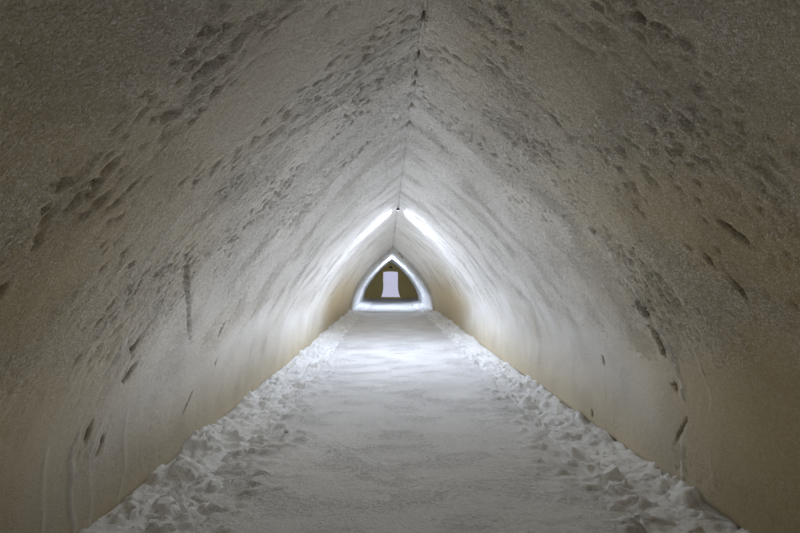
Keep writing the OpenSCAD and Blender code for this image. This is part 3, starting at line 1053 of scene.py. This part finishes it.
@dataclass
class VaultHalf:
    """Half of one cast bay: inner face, seam, crown, flank and foot in one closed mesh.

    Where edge_r isn't 0 the bay's start stands free: it gets a sawn face with edges
    rounded by that radius.
    """

    node: str
    arch: Arch
    mound: Mound
    side: Side
    start: float
    rows: np.ndarray
    inner_steps: int
    outer_steps: int
    edge_r: float
    wall_steps: int = 8

    def sections(self) -> tuple[np.ndarray, np.ndarray, np.ndarray]:
        """Works out where the cross-sections stand.

        Returns:
            Their places along the gallery, how far each is drawn in where a free start
            is rounded, and how far its faces tilt towards that start.
        """
        if not self.edge_r:
            return self.rows, 0 * self.rows, 0 * self.rows
        rows = self.rows[self.rows > self.start + self.edge_r * 1.2]
        turn = np.linspace(0, math.pi / 2, 7)[::-1]
        y = np.concatenate([self.start + self.edge_r * (1 - np.sin(turn)), rows])
        inset = np.concatenate([self.edge_r * (1 - np.cos(turn)), 0 * rows])
        return y, inset, np.concatenate([-turn, 0 * rows])

    def build(self) -> bpy.types.Object:
        """Builds, works and dresses the half vault.

        Returns:
            The finished object.
        """
        inner, outer = self.arch.points(self.inner_steps), self.mound.points(self.outer_steps)
        y, inset, tilt = self.sections()
        bm = bmesh.new()
        spans = self.inner_steps + self.outer_steps + 2 * self.wall_steps
        verts, i, j = lay_grid(bm, spans, len(y) - 1)
        place_verts(verts, self.sweep(inner, outer, y, inset, tilt)[j, i])
        if self.edge_r:
            verts, i, j = lay_grid(bm, self.inner_steps, self.wall_steps)
            place_verts(verts, self.cap(inner, outer, y[0], inset[0])[j, i])
        bmesh.ops.remove_doubles(bm, verts=[v for v in bm.verts if v.is_boundary], dist=WELD)
        rims = [e for e in bm.edges if e.is_boundary]
        if rims:
            bmesh.ops.holes_fill(bm, edges=rims, sides=0)
        piece = Piece(self.node + "_snow", self.node, "blown_snow", (WALL_SNOW, OUTER_SNOW))
        bmesh.ops.recalc_face_normals(bm, faces=bm.faces)
        for face in bm.faces:
            mid = face.calc_center_median()
            outward = face.normal.x * mid.x + face.normal.z * mid.z
            face.material_index = int(outward > 0.35 * math.hypot(mid.x, mid.z))
        return piece.finish(bm, wall_tint_and_painted_shade, recalc=False)

    def sweep(self, inner: np.ndarray, outer: np.ndarray, y: np.ndarray, inset: np.ndarray,
              tilt: np.ndarray) -> np.ndarray:
        """Sweeps the closed cross-section along the gallery and works its surfaces.

        Args:
            inner, outer: points of the two faces.
            y, inset, tilt: the cross-sections.

        Returns:
            Places by cross-section and by number round the section.
        """
        faces = []
        for points, relief in ((inner, self.wall), (outer, self.flank)):
            base = points[None, :, :2] - points[None, :, 2:4] * inset[:, None, None]
            yy = np.repeat(y[:, None], len(points), 1)
            lift = relief(points, base, yy) * np.cos(tilt)[:, None]
            total = lift + self.cut(base) * np.abs(np.sin(tilt))[:, None]
            x = base[..., 0] + points[None, :, 2] * lift * np.cos(tilt)[:, None]
            z = base[..., 1] + points[None, :, 3] * lift * np.cos(tilt)[:, None]
            yy = yy + np.sin(tilt)[:, None] * total
            faces.append(np.stack([x, yy, np.maximum(z, 0)], 2))
        near, far = faces
        s = np.linspace(0, 1, self.wall_steps + 1)[None, :, None]
        ridge = near[:, -1:, :] * (1 - s) + far[:, -1:, :] * s
        foot = far[:, :1, :] * (1 - s) + near[:, :1, :] * s
        loop = np.concatenate([near[:, :-1], ridge[:, :-1], far[:, ::-1][:, :-1], foot], 1)
        loop[..., 0] *= self.side.value
        return loop

    def cap(self, inner: np.ndarray, outer: np.ndarray, y: float,
            inset: float) -> np.ndarray:
        """Lays the sawn face of a free start.

        Args:
            inner, outer: points of the two faces.
            y: the end's place.
            inset: how far the rounded edges draw the face in.

        Returns:
            Places by number through the wall and by number up it.
        """
        near = inner[:, :2] - inner[:, 2:4] * inset
        far = outer[:, :2] - outer[:, 2:4] * inset
        s = np.linspace(0, 1, self.wall_steps + 1)[:, None, None]
        base = near * (1 - s) + far * s
        x, z = base[..., 0] * self.side.value, np.maximum(base[..., 1], 0)
        return np.stack([x, y - self.cut(base), z], 2)

    def wall(self, points: np.ndarray, base: np.ndarray, y: np.ndarray) -> np.ndarray:
        """Relief of the inner face at each place."""
        run = run_along(points)
        a = np.repeat(((run[-3] - run) * self.side.value)[None], len(y), 0)
        free = points[None, :, 4]
        x = base[..., 0] * self.side.value
        choked = (GROOVE_DEPTH - seam_depth(y)) * (1 - free)
        return wall_relief(self.side, a, x, y, base[..., 1]) * free + choked

    def flank(self, points: np.ndarray, base: np.ndarray, y: np.ndarray) -> np.ndarray:
        """Relief of the outer face at each place."""
        run = run_along(points)
        a = np.repeat(((run[-1] - run) * self.side.value)[None], len(y), 0)
        return flank_relief(a, y, base[..., 1])

    def cut(self, base: np.ndarray) -> np.ndarray:
        """Relief of a sawn end at each place."""
        return cut_relief(base[..., 0] * self.side.value, base[..., 1])


@dataclass
class Carpet:
    """A closed slab of snow whose top is worked and whose bottom lies flat."""

    node: str
    slot: str
    finish: SnowFinish
    across: np.ndarray
    rows: np.ndarray
    top: Callable[[np.ndarray, np.ndarray], np.ndarray]
    bottom: float = 0.0

    def build(self, extra: Callable[[bmesh.types.BMesh], None] | None = None
              ) -> bpy.types.Object:
        """Builds, works and dresses the slab.

        Args:
            extra: adds loose lumps to the mesh.

        Returns:
            The finished object.
        """
        bm = bmesh.new()
        verts, i, j = lay_grid(bm, len(self.across) - 1, len(self.rows) - 1)
        x, y = self.across[i], self.rows[j]
        place_verts(verts, np.stack([x, y, self.top(x, y)], 1))
        rim = [e for e in bm.edges if e.is_boundary]
        skirt = bmesh.ops.extrude_edge_only(bm, edges=rim)["geom"]
        for vert in skirt:
            if isinstance(vert, bmesh.types.BMVert):
                vert.co.z = self.bottom
        bmesh.ops.holes_fill(bm, edges=[e for e in bm.edges if e.is_boundary], sides=0)
        bmesh.ops.recalc_face_normals(bm, faces=bm.faces)
        if extra:
            extra(bm)
        piece = Piece(self.node + "_snow", self.node, self.slot, (self.finish,))
        return piece.finish(bm, floor_tint_and_painted_shade, recalc=False)


@dataclass
class ClodScatter:
    """Loose lumps thrown along one wall, most of them close to it."""

    side: Side
    half_w: float
    start: float
    stop: float
    count: int
    seed: int
    margin: float = 0.05
    spread: float = 0.75
    sunk: float = 0.30
    ragged: float = 0.15

    def __call__(self, bm: bmesh.types.BMesh) -> None:
        """Adds the lumps to a bank's mesh."""
        draw = np.random.default_rng(self.seed)
        for _ in range(self.count):
            inward = self.margin + self.spread * draw.random() ** 1.4
            y = draw.uniform(self.start + self.margin, self.stop - self.margin)
            x = self.side.value * (self.half_w - inward)
            radius = 0.008 + 0.020 * draw.random() ** 2
            height = bank_height(*(np.array([value]) for value in (inward, x, y)))[0]
            ground = FLOOR_TOP + max(float(height), 0.0)
            spin = Matrix.Rotation(draw.uniform(0, 6.28), 4, Vector(draw.normal(size=3)))
            shape = Matrix.Diagonal((*draw.uniform(0.7, 1.25, 3), 1.0))
            spot = Matrix.Translation((x, y, ground - radius * self.sunk))
            lump = bmesh.ops.create_icosphere(bm, subdivisions=2, radius=radius,
                                              matrix=spot @ spin @ shape)
            for vert in lump["verts"]:
                vert.co += Vector(draw.normal(size=3)) * radius * self.ragged


def bay_nodes() -> list[tuple[str, Arch, float, float, str]]:
    """Each bay's name, arch, start and end, from the mouth to the end wall.

    Returns:
        One row for each bay: the node names' stem, arch, start, end, and part.
    """
    bays = []
    for part, arch, count in (("gallery", GALLERY_ARCH, GALLERY_BAYS),
                              ("neck", NECK_ARCH, NECK_BAYS), ("chamber", CHAMBER_ARCH, 1)):
        for k in range(1, count + 1):
            low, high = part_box(f"{part}_vault_{k}_left")
            bays.append((f"{part}_vault_{k}", arch, low.y, high.y, part))
    return bays


@dataclass
class Vaults:
    """All the half vaults, each as fine as the eye's distance asks.

    One number for each bay from the mouth: spans of the inner and outer faces, growth of
    the rows' spacing with distance, and radius of the edges where the start stands free.
    """

    inner: tuple[int, ...] = (144, 270, 130, 90, 66, 60, 60)
    outer: tuple[int, ...] = (144, 34, 34, 34, 66, 34, 60)
    growth: tuple[float, ...] = (0.0050, 0.0050, 0.0055, 0.0060, 0.0060, 0.0075, 0.0080)
    edges: tuple[float, ...] = (0.06, 0.0, 0.0, 0.0, 0.09, 0.0, 0.14)

    def build(self) -> None:
        """Builds every half vault."""
        for k, (stem, arch, start, stop, part) in enumerate(bay_nodes()):
            rows = rows_between(start, stop, fine=0.0105, growth=self.growth[k], coarse=0.085)
            if part == "gallery" and stop > NECK_Y - 0.01:
                rows = np.union1d(rows[rows < stop - 0.09], stop - np.linspace(0, 0.08, 5))
            mound = CHAMBER_MOUND if part == "chamber" else LONG_MOUND
            for side in Side:
                VaultHalf(f"{stem}_{side.word}", arch, mound, side, start, rows,
                          self.inner[k], self.outer[k], self.edges[k]).build()


class Floors:
    """The trodden floors of gallery, neck and chamber."""

    def build(self) -> None:
        """Builds the three floors."""
        for part, arch, start, stop, steps, growth in (
                ("gallery", GALLERY_ARCH, MOUTH_Y, NECK_Y, 140, 0.0066),
                ("neck", NECK_ARCH, NECK_Y, CHAMBER_Y, 60, 0.006),
                ("chamber", CHAMBER_ARCH, CHAMBER_Y, END_Y, 60, 0.008)):
            across = np.linspace(-arch.half_w, arch.half_w, steps + 1)
            rows = rows_between(start, stop, fine=0.014, growth=growth, coarse=0.065)
            Carpet(f"{part}_floor", "trodden_snow", TRODDEN_SNOW, across, rows,
                   lambda x, y: FLOOR_TOP + tread_relief(x, y)).build()


@dataclass
class Banks:
    """Loose snow along the walls, with the spans across and the loose clods of each bay."""

    steps: tuple[int, ...] = (34, 44, 34, 26, 20, 18, 16)
    clods: tuple[int, ...] = (12, 34, 20, 10, 6, 4, 4)
    into_wall: float = 0.05
    reach: float = 0.62
    into_floor: float = 0.06

    def build(self) -> None:
        """Builds every bank."""
        for k, (stem, arch, start, stop, _) in enumerate(bay_nodes()):
            rows = rows_between(start, stop, fine=0.015, growth=0.0055, coarse=0.05)
            for side in Side:
                inward = np.linspace(-self.into_wall, self.reach, self.steps[k] + 1)
                across = side.value * (arch.half_w - inward)

                def top(x: np.ndarray, y: np.ndarray, w: float = arch.half_w,
                        s: int = side.value) -> np.ndarray:
                    """Height of the bank's top at each place."""
                    height = bank_height(w - s * x, x, y)
                    return np.maximum(FLOOR_TOP + height, FLOOR_TOP - self.into_floor / 2)

                node = f"{stem.replace('vault', 'bank')}_{side.word}"
                scatterer = ClodScatter(side, arch.half_w, start, stop, self.clods[k],
                                        900 + 2 * k + (side.value + 1) // 2)
                Carpet(node, "loose_snow", LOOSE_SNOW, across, rows, top,
                       FLOOR_TOP - self.into_floor).build(scatterer)


@dataclass
class EndWall:
    """The carved end wall with its flared doorway, in two sides, a head and a sill."""

    thick_steps: int = 16
    sill_overlap: float = 0.03

    def build(self) -> None:
        """Builds the four pieces."""
        for side in Side:
            self.side_piece(side)
        self.head_piece()
        self.sill_piece()

    def jamb(self, z: np.ndarray) -> np.ndarray:
        """Half width of the doorway at each height."""
        spread = DOOR_FOOT_HALF - DOOR_HALF
        flare_r = (FLARE_H ** 2 + spread ** 2) / (2 * spread)
        down = np.clip(SILL_TOP + FLARE_H - z, 0, FLARE_H)
        return DOOR_HALF + flare_r - np.sqrt(flare_r ** 2 - down ** 2)

    def block(self, node: str, across: int, up: int,
              place: Callable[[np.ndarray, np.ndarray], tuple[np.ndarray, np.ndarray]]) -> None:
        """Builds one block of the wall from a subdivided cube.

        Args:
            node: the node it stands for.
            across, up: number of spans each way.
            place: gives x and z from shares across and up.
        """
        bm = bmesh.new()
        thick = self.thick_steps
        flats = ((across, up, 2, 0), (across, up, 2, 1), (thick, up, 0, 0), (thick, up, 0, 1),
                 (across, thick, 1, 0), (across, thick, 1, 1))
        for n_a, n_b, axis, end in flats:
            verts, i, j = lay_grid(bm, n_a, n_b)
            u, v = i / n_a, j / n_b
            fixed = np.full_like(u, end)
            share = {0: (fixed, v, u), 1: (u, fixed, v), 2: (u, v, fixed)}[axis]
            x, z = place(*share[:2])
            y = END_Y + (BACK_Y - END_Y) * share[2]
            place_verts(verts, np.stack([x, y, z], 1))
        bmesh.ops.remove_doubles(bm, verts=bm.verts, dist=WELD)
        bmesh.ops.recalc_face_normals(bm, faces=bm.faces)
        free = [v for v in bm.verts if v.co.z > 0.02]
        for _ in range(3):
            bmesh.ops.smooth_vert(bm, verts=free, factor=0.5, use_axis_x=True, use_axis_y=True,
                                  use_axis_z=True)
        bm.normal_update()
        co = np.array([v.co[:] for v in bm.verts])
        normal = np.array([v.normal[:] for v in bm.verts])
        run = co[:, 0] + co[:, 1]
        lift = 0.014 * rough(run, co[:, 2], 0.5, 401, 3) + 0.004 * rough(run, co[:, 2], 0.09, 402, 2)
        co += normal * lift[:, None]
        co[:, 2] = np.maximum(co[:, 2], 0)
        place_verts(bm.verts, co)
        piece = Piece(node + "_snow", node, "carved_snow", (CARVED_SNOW,))
        piece.finish(bm, carved_painted_shade, recalc=False)

    def side_piece(self, side: Side) -> None:
        """Builds the wall on one side of the doorway."""
        rim = CHAMBER_MOUND.points(400, DOOR_HALF)

        def place(s: np.ndarray, t: np.ndarray) -> tuple[np.ndarray, np.ndarray]:
            """Spreads a block between the jamb and the flank."""
            shares = np.linspace(0, 1, len(rim))
            out_x, out_z = np.interp(t, shares, rim[:, 0]), np.interp(t, shares, rim[:, 1])
            in_z = t * rim[-1, 1]
            in_x = self.jamb(in_z)
            return side.value * (in_x * (1 - s) + out_x * s), in_z * (1 - s) + out_z * s

        self.block(f"end_wall_{side.word}", 44, 60, place)

    def head_piece(self) -> None:
        """Builds the wall over the doorway."""
        spring = DOOR_TOP - DOOR_RISE
        radius = (DOOR_HALF ** 2 + DOOR_RISE ** 2) / (2 * DOOR_RISE)

        def place(s: np.ndarray, t: np.ndarray) -> tuple[np.ndarray, np.ndarray]:
            """Spreads a block between the flat arch and the crown."""
            x = (s * 2 - 1) * DOOR_HALF
            low = DOOR_TOP - radius + np.sqrt(radius ** 2 - x ** 2)
            high = CHAMBER_MOUND.top - CROWN_R + np.sqrt(CROWN_R ** 2 - x ** 2)
            return x, np.maximum(low, spring) * (1 - t) + high * t

        self.block("end_wall_head", 24, 30, place)

    def sill_piece(self) -> None:
        """Builds the threshold."""
        def place(s: np.ndarray, t: np.ndarray) -> tuple[np.ndarray, np.ndarray]:
            """Spreads a block over the foot of the doorway."""
            return (s * 2 - 1) * (DOOR_FOOT_HALF + self.sill_overlap), t * SILL_TOP

        self.block("door_sill", 40, 8, place)


@dataclass
class Lamps:
    """The two ridge lamps, which shine down: housing with bezel, and lens."""

    radius: float = 0.032
    height: float = 0.046
    stem_r: float = 0.0057
    disc_share: float = 2.4
    power: tuple[float, float] = (74.0, 212.0)
    drop: tuple[float, float] = (0.02, 0.10)
    tint: str = "E1EBFF"

    def build(self) -> None:
        """Builds both lamps and their light."""
        for n in (1, 2):
            low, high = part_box(f"lamp_{n}_housing")
            mid_y = (low.y + high.y) / 2
            self.housing(n, mid_y, low.z, high.z)
            self.lens(n, mid_y)
            self.light(n, mid_y, low.z)

    def housing(self, n: int, y: float, low: float, high: float) -> None:
        """Builds a housing on its stem."""
        r, top = self.radius, low + self.height
        profile = [(0.0, low), (r - 0.006, low), (r - 0.002, low + 0.002), (r, low + 0.006),
                   (r, low + 0.016), (r - 0.003, low + 0.018), (r - 0.003, low + 0.040),
                   (r - 0.008, top), (self.stem_r, top), (self.stem_r, high), (0.0, high)]
        Piece(f"lamp_{n}_housing_metal", f"lamp_{n}_housing", "lamp_housing",
              (COATED_METAL,), 35.0).finish(lathe(profile, y, 40))

    def lens(self, n: int, y: float) -> None:
        """Builds a slightly domed lens."""
        low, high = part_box(f"lamp_{n}_lens")
        r = (high.x - low.x) / 2
        profile = [(0.0, low.z), (r * 0.6, low.z + 0.001), (r - 0.002, low.z + 0.003),
                   (r, low.z + 0.005), (r, high.z), (0.0, high.z)]
        Piece(f"lamp_{n}_lens_glass", f"lamp_{n}_lens", "lamp_lens", (LENS_GLASS,),
              35.0).finish(lathe(profile, y, 32))

    def light(self, n: int, y: float, low: float) -> None:
        """Adds the light that a lamp throws: lamp 1 straight down, lamp 2 all round."""
        if n == 1:
            data = bpy.data.lights.new("ridge_light_1", "AREA")
            data.shape = "DISK"
            data.size = self.radius * self.disc_share
            data.spread = math.pi
        else:
            data = bpy.data.lights.new("ridge_light_2", "POINT")
            data.shadow_soft_size = self.radius
        data.energy = self.power[n - 1]
        data.color = srgb(self.tint)[:3]
        stand(f"ridge_light_{n}", data).location = (0, y, low - self.drop[n - 1])


@dataclass
class DoorFitting:
    """Small dark box over the doorway: plate, rounded body and a smooth front."""

    plate_t: float = 0.012
    margin: float = 0.018

    def build(self) -> None:
        """Builds the fitting."""
        low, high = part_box("door_fitting")
        plate_y, m = high.y - self.plate_t, self.margin
        bm = bmesh.new()
        boxes = (((low.x, plate_y, low.z), (high.x, high.y, high.z), 0.003),
                 ((low.x + m, low.y, low.z + m), (high.x - m, plate_y + 0.001, high.z - m), 0.012))
        for a, b, radius in boxes:
            size = Vector(b) - Vector(a)
            middle = (Vector(a) + Vector(b)) / 2
            shape = Matrix.Translation(middle) @ Matrix.Diagonal((*size, 1.0))
            cube = bmesh.ops.create_cube(bm, size=1.0, matrix=shape)
            edges = {e for v in cube["verts"] for e in v.link_edges}
            bmesh.ops.bevel(bm, geom=list(edges), offset=radius, affect="EDGES", segments=3,
                            profile=0.5, material=-1)
        Piece("door_fitting_plastic", "door_fitting", "dark_fitting",
              (MOULDED_PLASTIC,), 35.0).finish(bm)


@dataclass
class Studio:
    """The floor, the light and the camera."""

    sky: str = "BEC0DC"
    sky_light: float = 0.38
    key: float = 1.5
    key_way: tuple[float, float, float] = (0.36, -0.28, -0.89)
    key_soft_deg: float = 35.0
    bounce: float = 99.0
    bounce_size: tuple[float, float] = (1.0, 15.0)
    bounce_place: tuple[float, float, float] = (-0.36, EYE.y + 10.0, 0.40)
    floor_half: float = 400.0
    lens_mm: float = 18.0
    sensor_mm: float = 36.0
    tilt_deg: float = 1.9
    turn_deg: float = -1.7

    def build(self) -> None:
        """Builds the studio."""
        self.floor()
        self.world()
        self.key_light()
        self.bounce_light()
        self.camera()
        bpy.context.scene.view_settings.view_transform = "Standard"

    def floor(self) -> None:
        """Lays the plain pale floor, which the key and the sky light to the backdrop's tone."""
        bm = bmesh.new()
        bmesh.ops.create_grid(bm, x_segments=1, y_segments=1, size=self.floor_half)
        mesh = bpy.data.meshes.new("studio_floor")
        bm.to_mesh(mesh)
        bm.free()
        material, tree, output = fresh("studio_floor_matt")
        level = -self.key_way[2] * self.key / math.pi + self.sky_light
        tone = (*(part / level for part in srgb(self.sky)[:3]), 1.0)
        shader = add(tree, "ShaderNodeBsdfDiffuse", {"Color": tone})
        tree.links.new(shader.outputs[0], output.inputs[0])
        mesh.materials.append(material)
        stand("studio_floor", mesh)

    def world(self) -> None:
        """Lights from all round, with a pale backdrop for the camera and for gloss."""
        world = bpy.data.worlds.new("studio_sky")
        bpy.context.scene.world = world
        world.use_nodes = True
        tree = world.node_tree
        tree.nodes.clear()
        ray = add(tree, "ShaderNodeLightPath").outputs
        seen = maths(tree, "MAXIMUM", ray["Is Camera Ray"], ray["Is Glossy Ray"])
        seen = maths(tree, "MAXIMUM", seen, ray["Is Transmission Ray"])
        shown = add(tree, "ShaderNodeBackground", {"Color": srgb(self.sky), "Strength": 1.0})
        light = add(tree, "ShaderNodeBackground", {"Color": srgb("FFFAF2"),
                                                   "Strength": self.sky_light})
        both = add(tree, "ShaderNodeMixShader", {0: seen, 1: light.outputs[0],
                                                 2: shown.outputs[0]})
        output = add(tree, "ShaderNodeOutputWorld", {0: both.outputs[0]})
        output.is_active_output = True

    def key_light(self) -> None:
        """Adds a wide soft sun over the mound, which doesn't shine far into the mouth."""
        data = bpy.data.lights.new("soft_key", "SUN")
        data.angle = math.radians(self.key_soft_deg)
        data.energy = self.key
        turn = Vector(self.key_way).to_track_quat("-Z", "Y").to_euler()
        stand("soft_key", data).rotation_euler = turn

    def bounce_light(self) -> None:
        """Adds the glow that the lit floor throws back up, between the eye and the neck."""
        data = bpy.data.lights.new("floor_glow", "AREA")
        data.shape = "RECTANGLE"
        data.size, data.size_y = self.bounce_size
        data.energy = self.bounce
        obj = stand("floor_glow", data)
        obj.location = self.bounce_place
        obj.rotation_euler = (math.pi, 0, 0)
        obj.visible_camera = False

    def camera(self) -> None:
        """Stands the camera where the photograph was taken from."""
        data = bpy.data.cameras.new("eye")
        data.lens = self.lens_mm
        data.sensor_width = self.sensor_mm
        data.clip_start = 0.05
        data.clip_end = 500.0
        obj = stand("eye", data)
        obj.location = EYE
        obj.rotation_euler = (math.radians(90 + self.tilt_deg), 0, math.radians(self.turn_deg))
        bpy.context.scene.camera = obj


def main() -> None:
    """Builds every part of the scene in order."""
    logging.basicConfig(level=logging.INFO, format="%(name)s: %(message)s")
    Vaults().build()
    Floors().build()
    Banks().build()
    EndWall().build()
    Lamps().build()
    DoorFitting().build()
    Studio().build()


if __name__ == "__main__":
    main()
